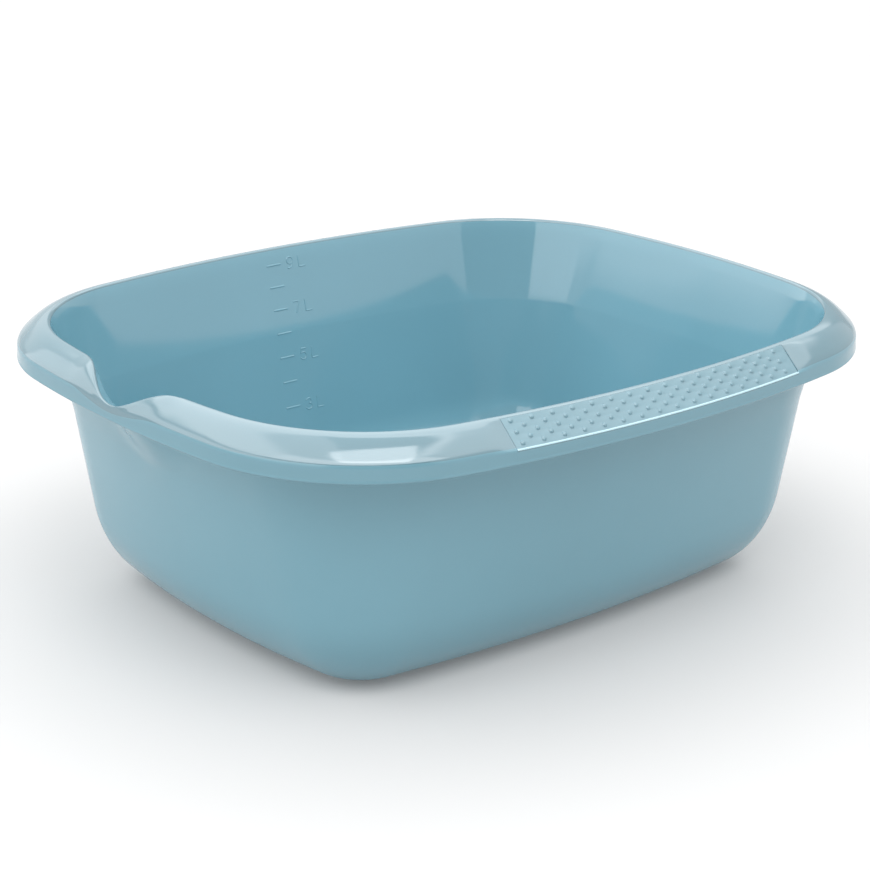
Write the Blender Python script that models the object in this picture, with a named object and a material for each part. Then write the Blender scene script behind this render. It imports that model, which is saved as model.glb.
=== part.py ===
# Rectangular washing-up bowl with a pouring spout and two nubbed grips.
# Run in Blender 4.5.  Units are metres, +Z up.
#
# Frame: the origin is the centre of the flat underside, X runs along the
# long side, the pouring spout is at the -X end and the grips are in the
# middle of the two long sides (-Y front, +Y rear).
#
# Pieces
#   bowl_body       one moulded shell: basin, spout, rim with its turned-down
#                   skirt, the two pockets for the grips, the litre scale
#   grip_pad_front  inlaid grip strip with five staggered rows of nubs (-Y)
#   grip_pad_rear   the same strip on the other long side (+Y)

import bpy
import bmesh
import math
from mathutils import Vector

# ------------------------------------------------------------------ clear
for ob in list(bpy.data.objects):
    bpy.data.objects.remove(ob, do_unlink=True)

# ------------------------------------------------------------- dimensions
HEIGHT = 0.1371            # underside to the top of the rim

# Plan loops: half length, half width, bow of the short side, bow of the
# long side, corner radius.  Every loop is a rectangle with bowed sides.
CREST = (0.1819, 0.1436, 0.0228, 0.0247, 0.0823)
SKIRT = (0.1940, 0.1578, 0.0202, 0.0277, 0.0899)
WALL = (0.1577, 0.1218, 0.0148, 0.0141, 0.0473)
WALL_Z = 0.0395            # height of the WALL loop on the outer surface

CREST_R = 0.0016           # radius of the thin rounded rim crest
RIM_T = 0.0020             # thickness of the rim and of its skirt
WALL_T_TOP = 0.0018        # wall thickness at the rim
WALL_T_LOW = 0.0022        # wall thickness at the floor
FLOOR_Z = 0.0062           # inner floor above the resting plane
FOOT_RING = 0.0040         # width of the flat ring that the bowl stands on
FOOT_SLOPE = 0.0013        # width of the step from the ring to the recess
FOOT_RECESS = 0.0039       # depth of the recess inside the ring
BREAK_Z = 0.0930           # soft break all round: the wall flares above it
BREAK_SOFT = 0.0022        # half height of the rounding at the break
FLARE = 0.0035             # the lower wall, extended, ends this far inside
FOOT_IN = 0.0395           # the flat begins this far inside the WALL loop
FOOT_RISE = 1.25           # height to depth of the rounding at the foot

SHOULDER_H = 0.0085        # drop of the shoulder corner below the crest
SKIRT_H = 0.0181           # drop of the skirt's lower edge below the crest
SKIRT_DRAFT = math.radians(2.0)
ROLL = 0.0036              # length of the rounding at the shoulder
TOP_BULGE = 0.0015        # crown of the rim's sloping top

# Pouring spout in the middle of the -X side
SPOUT_DROP = 0.0108        # how far the lip dips
SPOUT_OUT = 0.0110         # how far the lip is pushed outward
SPOUT_DROP_HALF = 0.0330   # half width of the dip
SPOUT_OUT_HALF = 0.0414    # half width of the outward bulge
SPOUT_OUT_FLAT = 0.0043    # half width over which the bulge is full
SPOUT_SHOULDER = 0.0040    # drop of the shoulder at the middle of the spout
SPOUT_DEPTH = 0.0400       # height over which the wall swells into the spout

# Grip pockets and pads
GRIP_HALF = 0.0888         # half length of the pocket
GRIP_TOP = 0.0010          # offset of the pocket's upper edge
GRIP_LOW_H = 0.0115        # drop of the pocket's lower edge on the skirt
LEDGE = 0.0010             # width of the ledge below the pad
PAD_T = 0.0013             # pad thickness
GAP = 0.0003               # clearance around a pad
BOSS = 0.0019              # extra depth of the rim below a pocket
BOSS_BLEND = 0.010

# Litre scale, raised on the inner face of the rear wall
MARK_LITRES = range(3, 10)
MARK_RELIEF = 0.0004       # how far a mark stands out of the wall
MARK_ROOT = 0.0006         # how deep it is rooted in the wall
BAR_X0, BAR_X1 = -0.0064, 0.0031
BAR_H = 0.0010
TEXT_X = 0.0068            # left edge of the digit
TEXT_GAP = 0.0026          # between the digit and the letter
STROKE = 0.0009
DIGIT_W = 0.0046
LETTER_W = 0.0043
TEXT_H = 0.0062

NUB_COLS = 16              # nubs in the long rows, one fewer in the others
NUB_ROWS = 5
NUB_FIRST = 0.0019         # first row's distance from the upper edge
NUB_PITCH = 0.0028         # distance between rows
NUB_R = 0.0012
NUB_H = 0.0008
NUB_HALF = 0.0824          # half the distance from the first to the last nub
NUB_SHIFT = -0.0021        # the nubs stand off the pad's middle, toward -X

# Columns of the mesh around the loop
N_SHORT = 6                # per half short side at +X
N_SPOUT = 12               # per half short side at -X
N_CORNER = 8
N_LONG = 5                 # per half grip, plus the pocket's end and the rest


# ------------------------------------------------------------ plan curves
def bow(loop):
    """Arcs of one quadrant: (centre, radius, start, end) three times."""
    a, b, sa, sb, r = loop
    r1 = (b * b + sa * sa) / (2 * sa)
    r2 = (a * a + sb * sb) / (2 * sb)
    c1 = Vector((a - r1, 0.0))
    c2 = Vector((0.0, b - r2))
    d1, d2 = r1 - r, r2 - r
    d = (c2 - c1).length
    e = (c2 - c1) / d
    x = (d1 * d1 - d2 * d2 + d * d) / (2 * d)
    h = math.sqrt(max(d1 * d1 - x * x, 1e-12))
    n = Vector((-e.y, e.x))
    p1, p2 = c1 + e * x + n * h, c1 + e * x - n * h
    cc = p1 if p1.x + p1.y > p2.x + p2.y else p2
    t1 = math.atan2(cc.y - c1.y, cc.x - c1.x)
    t2 = math.atan2(cc.y - c2.y, cc.x - c2.x)
    return ((c1, r1, 0.0, t1), (cc, r, t1, t2), (c2, r2, t2, math.pi / 2))


ARC_C, ARC_K, ARC_W = bow(CREST), bow(SKIRT), bow(WALL)

# the pocket's end as a fraction of the long side (k = 1 is x = 0)
K_END = 0.25
K_STEP = GAP * (1 - K_END) / GRIP_HALF


def on_loop(arcs, col):
    """Point and outward direction of a loop at column (sx, sy, arc, k).

    On the long side the columns of the grip stand at the same x on every
    loop, so that the pocket's ends are square to the bowl.
    """
    sx, sy, seg, k = col
    c, r, t0, t1 = arcs[seg]
    if seg == 2:
        xc = c.x + r * math.cos(t0)
        x = (xc + (GRIP_HALF - xc) * k / K_END if k < K_END
             else GRIP_HALF * (1 - k) / (1 - K_END))
        t = math.acos((x - c.x) / r)
    else:
        t = t0 + (t1 - t0) * k
    n = Vector((math.cos(t), math.sin(t)))
    p = c + n * r
    return Vector((p.x * sx, p.y * sy)), Vector((n.x * sx, n.y * sy))


def ease(t):
    t = min(max(t, 0.0), 1.0)
    return t * t * (3 - 2 * t)


def half_long():
    """Fractions k of a half long side, from the corner to the middle."""
    ks = [0.0, K_END * 0.5, K_END - K_STEP * 0.5, K_END + K_STEP * 0.5]
    ks += [K_END + (1 - K_END) * i / N_LONG for i in range(1, N_LONG + 1)]
    return ks


def columns():
    cols = []

    def quadrant(sx, sy, n_short, reverse):
        q = [(sx, sy, 0, i / n_short) for i in range(n_short)]
        q += [(sx, sy, 1, i / N_CORNER) for i in range(N_CORNER)]
        q += [(sx, sy, 2, k) for k in half_long()]
        return q[::-1] if reverse else q

    q1 = quadrant(1, 1, N_SHORT, False)       # +X axis to +Y axis
    q2 = quadrant(-1, 1, N_SPOUT, True)       # +Y axis to -X axis
    q3 = quadrant(-1, -1, N_SPOUT, False)     # -X axis to -Y axis
    q4 = quadrant(1, -1, N_SHORT, True)       # -Y axis to +X axis
    cols = q1 + q2[1:] + q3[1:] + q4[1:-1]
    return cols


# ------------------------------------------------------------ rim section
def spout(p):
    """Dip and outward push of the lip at a crest point."""
    if p.x > 0:
        return 0.0, 0.0
    y = abs(p.y)
    g = ease((SPOUT_DROP_HALF - y) / SPOUT_DROP_HALF)
    s = ease((SPOUT_OUT_HALF - y) / (SPOUT_OUT_HALF - SPOUT_OUT_FLAT))
    return g, s


def grip_zone(col, p):
    """1 inside a pocket, and the blend of the boss around it."""
    if col[2] != 2:
        return False, 0.0
    d = max(0.0, abs(p.x) - GRIP_HALF)
    return col[3] > K_END, ease(1 - d / BOSS_BLEND)


def at(base, n, o, z):
    return Vector((base.x + n.x * o, base.y + n.y * o, HEIGHT + z))


def mix(a, b, k):
    return a * (1 - k) + b * k


def skirt_point(pk, nk, h):
    """Point on the outer face of the skirt at a drop h below the crest."""
    o = -(SKIRT_H - h) * math.tan(SKIRT_DRAFT)
    return at(pk, nk, o, -h)


def chord(col):
    """Upper and lower edge of the flat that carries a grip pad."""
    pc, nc = on_loop(ARC_C, col)
    pk, nk = on_loop(ARC_K, col)
    sh = skirt_point(pk, nk, SHOULDER_H)
    a = at(pc, nc, CREST_R * math.cos(math.radians(62)),
           -CREST_R + CREST_R * math.sin(math.radians(62)))
    w = (sh - a)
    up = a + w * (GRIP_TOP / w.length) + Vector((0, 0, 1)) * TOP_BULGE * 0.5
    low = skirt_point(pk, nk, GRIP_LOW_H)
    run = (low - up).normalized()
    out = Vector((nc.x, nc.y, 0.0))
    nrm = (Vector((0, 0, 1)) - run * run.z)
    # normal of the flat: perpendicular to the chord in the section's plane
    nrm = (out * (-run.z) + Vector((0, 0, 1)) * run.dot(out)).normalized()
    return up, low, run, nrm


def outer_wall(col, z):
    """Outer wall surface at height z (above the rounding at the foot)."""
    pc, nc = on_loop(ARC_C, col)
    pw, nw = on_loop(ARC_W, col)
    k = (z - WALL_Z) / (HEIGHT - WALL_Z)
    n = mix(nw, nc, k).normalized()
    p = mix(pw, pc - nc * FLARE, k)
    # above the break the wall leans out further, up to the crest
    u = z - BREAK_Z
    if u > -BREAK_SOFT:
        rise = (u if u > BREAK_SOFT
                else (u + BREAK_SOFT) ** 2 / (4 * BREAK_SOFT))
        p = p + nc * (FLARE * rise / (HEIGHT - BREAK_Z))
    return p, n, k


def thickness(z):
    k = min(max((z - WALL_Z) / (HEIGHT - WALL_Z), 0.0), 1.0)
    return mix(WALL_T_LOW, WALL_T_TOP, k)


def foot_curve(col, t, inner):
    """Rounding between wall and floor: a conic that leaves the wall along
    its slope (t = 0) and arrives flat (t = 1)."""
    pw, nw = on_loop(ARC_W, col)
    z0 = FLOOR_Z if inner else 0.0
    inset = WALL_T_LOW if inner else 0.0
    corner = wall_point(col, z0, inset)
    above = wall_point(col, z0 + 0.030, inset)
    q = pw - nw * FOOT_IN
    flat = Vector((q.x, q.y, z0))
    if inner:
        flat = corner + (flat - corner) * ((FOOT_IN - 0.0062) / FOOT_IN)
    reach = (flat - corner).length
    u = (above - corner).normalized()
    start = corner + u * (reach * FOOT_RISE)
    d = (flat - corner).normalized()
    w = math.sqrt(max((1 - u.dot(d)) / 2, 1e-9))
    b0, b1, b2 = (1 - t) ** 2, 2 * t * (1 - t) * w, t * t
    return (start * b0 + corner * b1 + flat * b2) / (b0 + b1 + b2)


def wall_point(col, z, inset, swell=True):
    p, n, k = outer_wall(col, z)
    pc, nc = on_loop(ARC_C, col)
    g, s = spout(pc)
    o = 0.0
    if swell and s > 0:
        zc = HEIGHT - SPOUT_DROP * g
        u = 1 - (zc - z) / SPOUT_DEPTH
        o = SPOUT_OUT * s * ease(u)
    q = p + n * (o - inset)
    return Vector((q.x, q.y, z))


def section(col):
    """All rows of one column, from the inner floor edge over the rim to the
    outer floor edge."""
    pc, nc = on_loop(ARC_C, col)
    pk, nk = on_loop(ARC_K, col)
    pw, nw = on_loop(ARC_W, col)
    g, s = spout(pc)
    dip, push = SPOUT_DROP * g, SPOUT_OUT * s
    rows = []
    zc = HEIGHT - dip - CREST_R                 # centre of the crest arc

    # inner rounding between floor and wall, from the floor upward
    for i in range(0, 8):
        rows.append(foot_curve(col, 1 - i / 7, True))

    # inner wall; the shell thins toward the rim
    for z in (0.068, BREAK_Z - BREAK_SOFT, BREAK_Z, BREAK_Z + BREAK_SOFT):
        rows.append(wall_point(col, z, thickness(z)))
    z_lo, z_hi = BREAK_Z + BREAK_SOFT, zc
    for k in (0.25, 0.5, 0.75):
        z = z_lo + (z_hi - z_lo) * k
        rows.append(wall_point(col, z, thickness(z)))

    # crest: a rounded lip, inner side to outer side
    for a in (180, 140, 100, 62):
        r = math.radians(a)
        rows.append(at(pc, nc, push + CREST_R * math.cos(r),
                       -dip - CREST_R + CREST_R * math.sin(r)))
    a = rows[-1]

    # top of the rim and the roll over the shoulder
    h_sh = SHOULDER_H + SPOUT_SHOULDER * g
    sh = skirt_point(pk, nk, h_sh)
    w = sh - a
    roll = min(ROLL, w.length * 0.45)
    p1 = sh - w * (roll / w.length)
    p2 = skirt_point(pk, nk, h_sh + min(roll, (SKIRT_H - h_sh) * 0.5))
    crown = Vector((0, 0, 1)) * TOP_BULGE * min(1.0, w.length / 0.012)

    def top(k):
        return mix(a, p1, k) + crown * (4 * k * (1 - k))

    def bez(k):
        return p1 * (1 - k) ** 2 + sh * (2 * k * (1 - k)) + p2 * k ** 2

    inside, boss = grip_zone(col, pc)
    if not inside:
        ku = GRIP_TOP / w.length if w.length > 0.008 else 0.3
        rows += [top(ku), top(ku + 0.04), top(0.62), p1,
                 bez(0.33), bez(0.66), p2]
    else:
        up, low, run, nrm = chord(col)
        depth = PAD_T + GAP
        rows += [up,
                 up + run * 0.0002 - nrm * depth,
                 mix(up, low, 0.5) - nrm * depth,
                 low - run * (LEDGE + 0.0002) - nrm * depth,
                 low - run * LEDGE,
                 low - run * 0.0003,
                 skirt_point(pk, nk, GRIP_LOW_H + 0.0004)]
    # skirt and its rounded lower edge
    rows.append(skirt_point(pk, nk, SKIRT_H - 0.0006))
    rows.append(at(pk, nk, -RIM_T * 0.28, -SKIRT_H))
    rows.append(at(pk, nk, -RIM_T * 0.72, -SKIRT_H))
    rows.append(at(pk, nk, -RIM_T, -SKIRT_H + 0.0006))

    # underside of the rim: channel for the fingers
    h_in = h_sh + RIM_T + BOSS * boss + 0.0012
    inner_k = at(pk, nk, -(SKIRT_H - h_in) * math.tan(SKIRT_DRAFT) - RIM_T,
                 -h_in - 0.0012)
    wl, wn, _ = outer_wall(col, HEIGHT - 0.006)
    h_w = min(0.0062 + BOSS * boss * 0.6 + 0.0085 * g, h_in + 0.0002)
    join = wall_point(col, HEIGHT - h_w - 0.0018, 0.0)
    out2 = Vector((nc.x, nc.y, 0.0))
    span = (inner_k - join).dot(out2)
    rows.append(inner_k)
    rows.append(inner_k - out2 * min(0.0014, span * 0.25)
                + Vector((0, 0, 0.0014)) * min(1.0, span / 0.005))
    zt = HEIGHT - h_w
    rows.append(mix(join, inner_k, min(0.0022 / max(span, 1e-6), 0.35))
                * 1.0)
    rows[-1].z = zt
    rows.append(join)

    # outer wall down to the foot
    top_z = join.z
    for k in (0.33, 0.66):
        z = top_z + (BREAK_Z + BREAK_SOFT - top_z) * k
        rows.append(wall_point(col, z, 0.0))
    for z in (BREAK_Z + BREAK_SOFT, BREAK_Z, BREAK_Z - BREAK_SOFT, 0.066):
        rows.append(wall_point(col, z, 0.0))
    for i in range(0, 8):
        rows.append(foot_curve(col, i / 7, False))
    # foot ring and the shallow recess inside it
    q = pw - nw * (FOOT_IN + FOOT_RING)
    rows.append(Vector((q.x, q.y, 0.0)))
    q = pw - nw * (FOOT_IN + FOOT_RING + FOOT_SLOPE)
    rows.append(Vector((q.x, q.y, FOOT_RECESS)))
    return rows


# ------------------------------------------------------------ litre scale
def inner_area(z, cols, feet):
    """Area enclosed by the inner surface of the basin at height z."""
    pts = []
    for c, foot in zip(cols, feet):
        if z >= foot[-1].z:
            p = wall_point(c, z, thickness(z), swell=False)
        else:
            i = next(i for i, q in enumerate(foot) if q.z > z)
            a, b = foot[i - 1], foot[i]
            p = mix(a, b, (z - a.z) / (b.z - a.z))
        pts.append((p.x, p.y))
    return 0.5 * abs(sum(a[0] * b[1] - b[0] * a[1]
                         for a, b in zip(pts, pts[1:] + pts[:1])))


def litre_heights():
    """Height of the water level for each marked volume."""
    cols = columns()
    feet = [[foot_curve(c, 1 - i / 24, True) for i in range(25)]
            for c in cols]
    n, z, vol = 260, FLOOR_Z, 0.0
    dz = (HEIGHT - 0.004 - FLOOR_Z) / n
    found = {}
    for _ in range(n):
        step = inner_area(z + dz / 2, cols, feet) * dz
        for lit in MARK_LITRES:
            if vol < lit * 1e-3 <= vol + step:
                found[lit] = z + dz * (lit * 1e-3 - vol) / step
        vol += step
        z += dz
    return found


def rear_wall_y(x, z):
    """Inner face of the rear wall at a place within the grip's length."""
    col = (1 if x >= 0 else -1, 1, 2,
           1.0 - abs(x) / GRIP_HALF * (1 - K_END))
    return wall_point(col, z, thickness(z)).y


GLYPHS = {                 # strokes on three columns and five rows
    "3": ("111", "001", "111", "001", "111"),
    "5": ("111", "100", "111", "001", "111"),
    "7": ("111", "001", "001", "001", "001"),
    "9": ("111", "101", "111", "001", "111"),
    "L": ("10", "10", "10", "10", "11"),
}


def raised(bm, xs, zs, cells):
    """Raised strokes on the rear wall: filled cells of a grid."""
    verts = {}

    def v(i, j, front):
        key = (i, j, front)
        if key not in verts:
            y = rear_wall_y(xs[i], zs[j])
            y += -MARK_RELIEF if front else MARK_ROOT
            verts[key] = bm.verts.new((xs[i], y, zs[j]))
        return verts[key]

    for i, j in cells:
        q = ((i, j), (i + 1, j), (i + 1, j + 1), (i, j + 1))
        bm.faces.new([v(a, b, True) for a, b in q])
        bm.faces.new([v(a, b, False) for a, b in q[::-1]])
        for (a, b), (c, d), (di, dj) in (
                (q[0], q[1], (0, -1)), (q[1], q[2], (1, 0)),
                (q[2], q[3], (0, 1)), (q[3], q[0], (-1, 0))):
            if (i + di, j + dj) not in cells:
                bm.faces.new((v(a, b, True), v(a, b, False),
                              v(c, d, False), v(c, d, True)))


def make_marks():
    bm = bmesh.new()
    for lit, z in sorted(litre_heights().items()):
        raised(bm, [BAR_X0, BAR_X1], [z - BAR_H / 2, z + BAR_H / 2],
               {(0, 0)})
        if lit % 2 == 0:
            continue
        x = TEXT_X
        for ch, w in ((str(lit), DIGIT_W), ("L", LETTER_W)):
            g = GLYPHS[ch]
            xs = ([x, x + STROKE, x + w - STROKE, x + w] if len(g[0]) == 3
                  else [x, x + STROKE, x + w])
            mid = (TEXT_H - 3 * STROKE) / 2
            z0 = z - TEXT_H / 2
            zs = [z0, z0 + STROKE, z0 + STROKE + mid,
                  z0 + 2 * STROKE + mid, z0 + 2 * STROKE + 2 * mid,
                  z0 + TEXT_H]
            cells = {(i, 4 - r) for r in range(5) for i in range(len(g[0]))
                     if g[r][i] == "1"}
            raised(bm, xs, zs, cells)
            x += w + TEXT_GAP
    return bm


# ---------------------------------------------------------------- meshing
def finish(name, bm, colour, rough, sharp=35.0):
    bmesh.ops.recalc_face_normals(bm, faces=bm.faces[:])
    me = bpy.data.meshes.new(name)
    bm.to_mesh(me)
    bm.free()
    me.shade_smooth()
    me.set_sharp_from_angle(angle=math.radians(sharp))
    ob = bpy.data.objects.new(name, me)
    bpy.context.scene.collection.objects.link(ob)
    mat = bpy.data.materials.new(name + "_mat")
    mat.use_nodes = True
    bsdf = mat.node_tree.nodes["Principled BSDF"]
    bsdf.inputs["Base Color"].default_value = (*colour, 1.0)
    bsdf.inputs["Roughness"].default_value = rough
    bsdf.inputs["Metallic"].default_value = 0.0
    me.materials.append(mat)
    mat.diffuse_color = (*colour, 1.0)
    return ob


def make_bowl():
    bm = bmesh.new()
    cols = columns()
    grid = [[bm.verts.new(p) for p in section(c)] for c in cols]
    n, m = len(grid), len(grid[0])
    for i in range(n):
        a, b = grid[i], grid[(i + 1) % n]
        for j in range(m - 1):
            bm.faces.new((a[j], b[j], b[j + 1], a[j + 1]))
    bm.faces.new([g[0] for g in grid])          # flat floor, inside
    bm.faces.new([g[-1] for g in grid][::-1])   # flat underside
    return finish("bowl_body", bm, (0.24, 0.44, 0.52), 0.32)


def make_pad(name, sy):
    """Grip strip: staggered nubs on a thin strip that follows the rim."""
    bm = bmesh.new()
    n_half = NUB_COLS * 2                       # half-cell columns
    n_row = NUB_ROWS
    end = GRIP_HALF - GAP * 1.5
    first = NUB_HALF
    cell = 2 * first / (NUB_COLS - 1)           # distance between nubs

    def frame(x):
        """Upper edge, direction down the flat, usable length, normal."""
        sx = 1 if x >= 0 else -1
        k = 1.0 - abs(x) / GRIP_HALF * (1 - K_END)
        col = (sx, sy, 2, k)
        up, low, run, nrm = chord(col)
        u0 = 0.0002 + GAP
        u1 = (low - up).length - (LEDGE + GAP)
        return up, run, nrm, u0, u1

    def x_of(i):
        """x of half-cell column i, 0 .. n_half."""
        if i == 0:
            return -end
        if i == n_half:
            return end
        return -first + NUB_SHIFT + (i - 1) * cell / 2

    def down(v, u0, u1):
        """Distance below the upper edge: whole v between rows, half v on
        the middle of a row."""
        if v == 0:
            return u0
        if v == n_row:
            return u1
        return NUB_FIRST + NUB_PITCH * (v - 0.5)

    cache = {}

    def surf(i, v, lift=0.0, tag=0):
        """Point at column i and v in 0 .. n_row across the pad."""
        key = (round(i, 6), round(v, 6), tag)
        if key in cache:
            return cache[key]
        i0 = int(math.floor(i))
        f = i - i0
        th = x_of(i0) if f == 0 else x_of(i0) * (1 - f) + x_of(i0 + 1) * f
        up, run, nrm, u0, u1 = frame(th)
        p = up + run * down(v, u0, u1) + nrm * lift
        vert = bm.verts.new(p)
        cache[key] = vert
        return vert

    def face(vs):
        bm.faces.new(vs)

    for r in range(n_row):
        long_row = r % 2 == 0
        starts = range(0, n_half, 2) if long_row else range(1, n_half - 1, 2)
        if not long_row:
            for c in (0, n_half - 1):           # plain half cells at the ends
                face([surf(c, r), surf(c + 1, r), surf(c + 1, r + 0.5),
                      surf(c + 1, r + 1), surf(c, r + 1), surf(c, r + 0.5)])
        for c in starts:
            ring = [surf(c, r), surf(c + 1, r), surf(c + 2, r),
                    surf(c + 2, r + 0.5), surf(c + 2, r + 1),
                    surf(c + 1, r + 1), surf(c, r + 1), surf(c, r + 0.5)]
            # middle of the nub
            ic = c + 1
            up, run, nrm, u0, u1 = frame(x_of(ic))
            mid = up + run * down(r + 0.5, u0, u1)
            side = run.cross(nrm).normalized()
            px = ring[2].co - ring[0].co
            if side.dot(px) < 0:
                side = -side
            rings = []
            for rad, hh in ((1.0, 0.0), (0.62, 0.82)):
                vs = []
                for q in range(8):
                    t = math.radians(-135 + 45 * q)
                    d = side * math.cos(t) + run * math.sin(t)
                    vs.append(bm.verts.new(mid + d * (NUB_R * rad)
                                           + nrm * (NUB_H * hh)))
                rings.append(vs)
            tip = bm.verts.new(mid + nrm * NUB_H)
            for q in range(8):
                w = (q + 1) % 8
                face([ring[q], ring[w], rings[0][w], rings[0][q]])
                face([rings[0][q], rings[0][w], rings[1][w], rings[1][q]])
                face([rings[1][q], rings[1][w], tip])
    # underside and edges
    edge = []
    edge += [(i, 0.0) for i in range(0, n_half + 1)]
    edge += [(n_half, j / 2) for j in range(1, 2 * n_row + 1)]
    edge += [(i, float(n_row)) for i in range(n_half - 1, -1, -1)]
    edge += [(0, j / 2) for j in range(2 * n_row - 1, 0, -1)]
    for a, b in zip(edge, edge[1:] + edge[:1]):
        face([surf(*a), surf(*b), surf(*b, lift=-PAD_T, tag=1),
              surf(*a, lift=-PAD_T, tag=1)])
    # one strip per column; the end columns carry the extra edge points
    for i in range(n_half):
        left = [surf(i, 0.0, -PAD_T, 1)]
        right = [surf(i + 1, 0.0, -PAD_T, 1)]
        if i == 0:
            left += [surf(0, j / 2, -PAD_T, 1) for j in range(1, 2 * n_row)]
        if i == n_half - 1:
            right += [surf(n_half, j / 2, -PAD_T, 1)
                      for j in range(1, 2 * n_row)]
        left.append(surf(i, float(n_row), -PAD_T, 1))
        right.append(surf(i + 1, float(n_row), -PAD_T, 1))
        face(left + right[::-1])
    return finish(name, bm, (0.27, 0.46, 0.53), 0.5, 50.0)


bowl = make_bowl()

# the scale is moulded with the bowl: its strokes are joined to the wall
marks = finish("litre_scale_tool", make_marks(), (0.24, 0.44, 0.52), 0.32)
marks.hide_render = True
marks.display_type = 'WIRE'
union = bowl.modifiers.new("litre_scale", 'BOOLEAN')
union.operation = 'UNION'
union.solver = 'EXACT'
union.object = marks

pad_front = make_pad("grip_pad_front", -1)
pad_rear = make_pad("grip_pad_rear", 1)
pad_front.parent = bowl
pad_rear.parent = bowl
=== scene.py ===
import math

import bmesh
import bpy
import numpy as np
from mathutils import Matrix, Vector


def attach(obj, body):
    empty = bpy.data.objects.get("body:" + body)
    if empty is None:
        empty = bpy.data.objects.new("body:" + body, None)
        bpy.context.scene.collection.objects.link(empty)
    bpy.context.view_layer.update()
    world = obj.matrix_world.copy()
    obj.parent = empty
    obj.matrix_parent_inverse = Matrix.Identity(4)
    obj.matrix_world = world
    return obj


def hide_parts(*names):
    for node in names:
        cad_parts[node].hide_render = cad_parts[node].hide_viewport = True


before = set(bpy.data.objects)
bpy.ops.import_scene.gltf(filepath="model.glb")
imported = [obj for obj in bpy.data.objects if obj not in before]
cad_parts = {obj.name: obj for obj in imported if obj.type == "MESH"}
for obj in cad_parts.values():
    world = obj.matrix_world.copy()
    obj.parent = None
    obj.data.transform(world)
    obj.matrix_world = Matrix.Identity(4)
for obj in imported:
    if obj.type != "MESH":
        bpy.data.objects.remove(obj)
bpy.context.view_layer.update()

# ===================================================================== camera
# The photograph's camera: focal length and principal point in pixels of an
# 870 x 870 frame, direction in degrees, and a place in metres.
FOCAL_PX, PRINCIPAL = 2252.546, (457.829, 437.822)
AZ, EL, ROLL = -41.1258, 19.5091, 1.3425
CAM_AT = (-0.69234, -0.80490, 0.44570)


def make_camera():
    a, e, r = (math.radians(v) for v in (AZ, EL, ROLL))
    back = Vector((math.sin(a) * math.cos(e), -math.cos(a) * math.cos(e),
                   math.sin(e)))
    right = (-back).cross(Vector((0, 0, 1))).normalized()
    up = right.cross(-back)
    right, up = (right * math.cos(r) + up * math.sin(r),
                 up * math.cos(r) - right * math.sin(r))
    data = bpy.data.cameras.new("camera")
    data.sensor_fit = "AUTO"
    data.sensor_width = 36.0
    data.lens = FOCAL_PX / 870.0 * 36.0
    data.shift_x = (435.0 - (PRINCIPAL[0] + 0.5)) / 870.0
    data.shift_y = ((PRINCIPAL[1] + 0.5) - 435.0) / 870.0
    data.clip_start, data.clip_end = 0.02, 60.0
    cam = bpy.data.objects.new("camera", data)
    m = Matrix.Identity(4)
    for i, v in enumerate((right, up, back)):
        m[0][i], m[1][i], m[2][i] = v
    m.translation = Vector(CAM_AT)
    cam.matrix_world = m
    bpy.context.scene.collection.objects.link(cam)
    bpy.context.scene.camera = cam


make_camera()

# ================================================================= dimensions
# The same driving dimensions as the CAD part, in metres.
HEIGHT = 0.1371
CREST = (0.1819, 0.1436, 0.0228, 0.0247, 0.0823)
SKIRT = (0.1940, 0.1578, 0.0202, 0.0277, 0.0899)
WALL = (0.1577, 0.1218, 0.0148, 0.0141, 0.0473)
WALL_Z = 0.0395
CREST_R = 0.0016
RIM_T = 0.0020
WALL_T_TOP = 0.00167
WALL_T_LOW = 0.0022
FLOOR_Z = 0.0062
FOOT_RING, FOOT_SLOPE, FOOT_RECESS = 0.0040, 0.0013, 0.0039
BREAK_Z, BREAK_SOFT, BREAK_IN, FLARE = 0.0930, 0.0022, 0.0009, 0.0035
FOOT_IN, FOOT_RISE = 0.0395, 1.25
SHOULDER_H, SKIRT_H = 0.0085, 0.0181
SKIRT_DRAFT = math.radians(2.0)
SPOUT_DROP, SPOUT_OUT = 0.0108, 0.0110
SPOUT_DROP_HALF, SPOUT_OUT_HALF, SPOUT_OUT_FLAT = 0.0330, 0.0414, 0.0043
SPOUT_SHOULDER, SPOUT_DEPTH = 0.0040, 0.0400
GRIP_HALF, GRIP_LOW_H = 0.0888, 0.0115
LEDGE, PAD_T = 0.0010, 0.0013
GAP = 0.00012              # the seam around a pad, as it shows
BOSS, BOSS_BLEND = 0.0019, 0.010
FLAT_BLEND, FLAT_STEP = 0.011, 0.00022

MARKS = range(3, 10)
MARK_RELIEF, MARK_ROOT = 0.00026, 0.0004
BAR_X0, BAR_X1, BAR_H = -0.0064, 0.0031, 0.0010
TEXT_X, TEXT_GAP, STROKE = 0.0070, 0.0036, 0.00072
DIGIT_W, LETTER_W, TEXT_H = 0.0040, 0.0037, 0.0058

LIP = ((0.0, 0.00010), (0.00014, 0.00024), (0.00030, 0.00031),
       (0.00050, 0.00031), (0.00070, 0.00022), (0.00088, 0.00006))

NUB_COLS, NUB_ROWS = 16, 5
NUB_FIRST, NUB_PITCH, NUB_SHIFT = 0.0019, 0.0028, -0.0021
NUB_R, NUB_H, NUB_HALF = 0.0012, 0.0008, 0.0824

# mesh density
N_SHORT, N_SPOUT, N_CORNER, N_SIDE, N_LONG = 14, 44, 34, 9, 36


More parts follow.
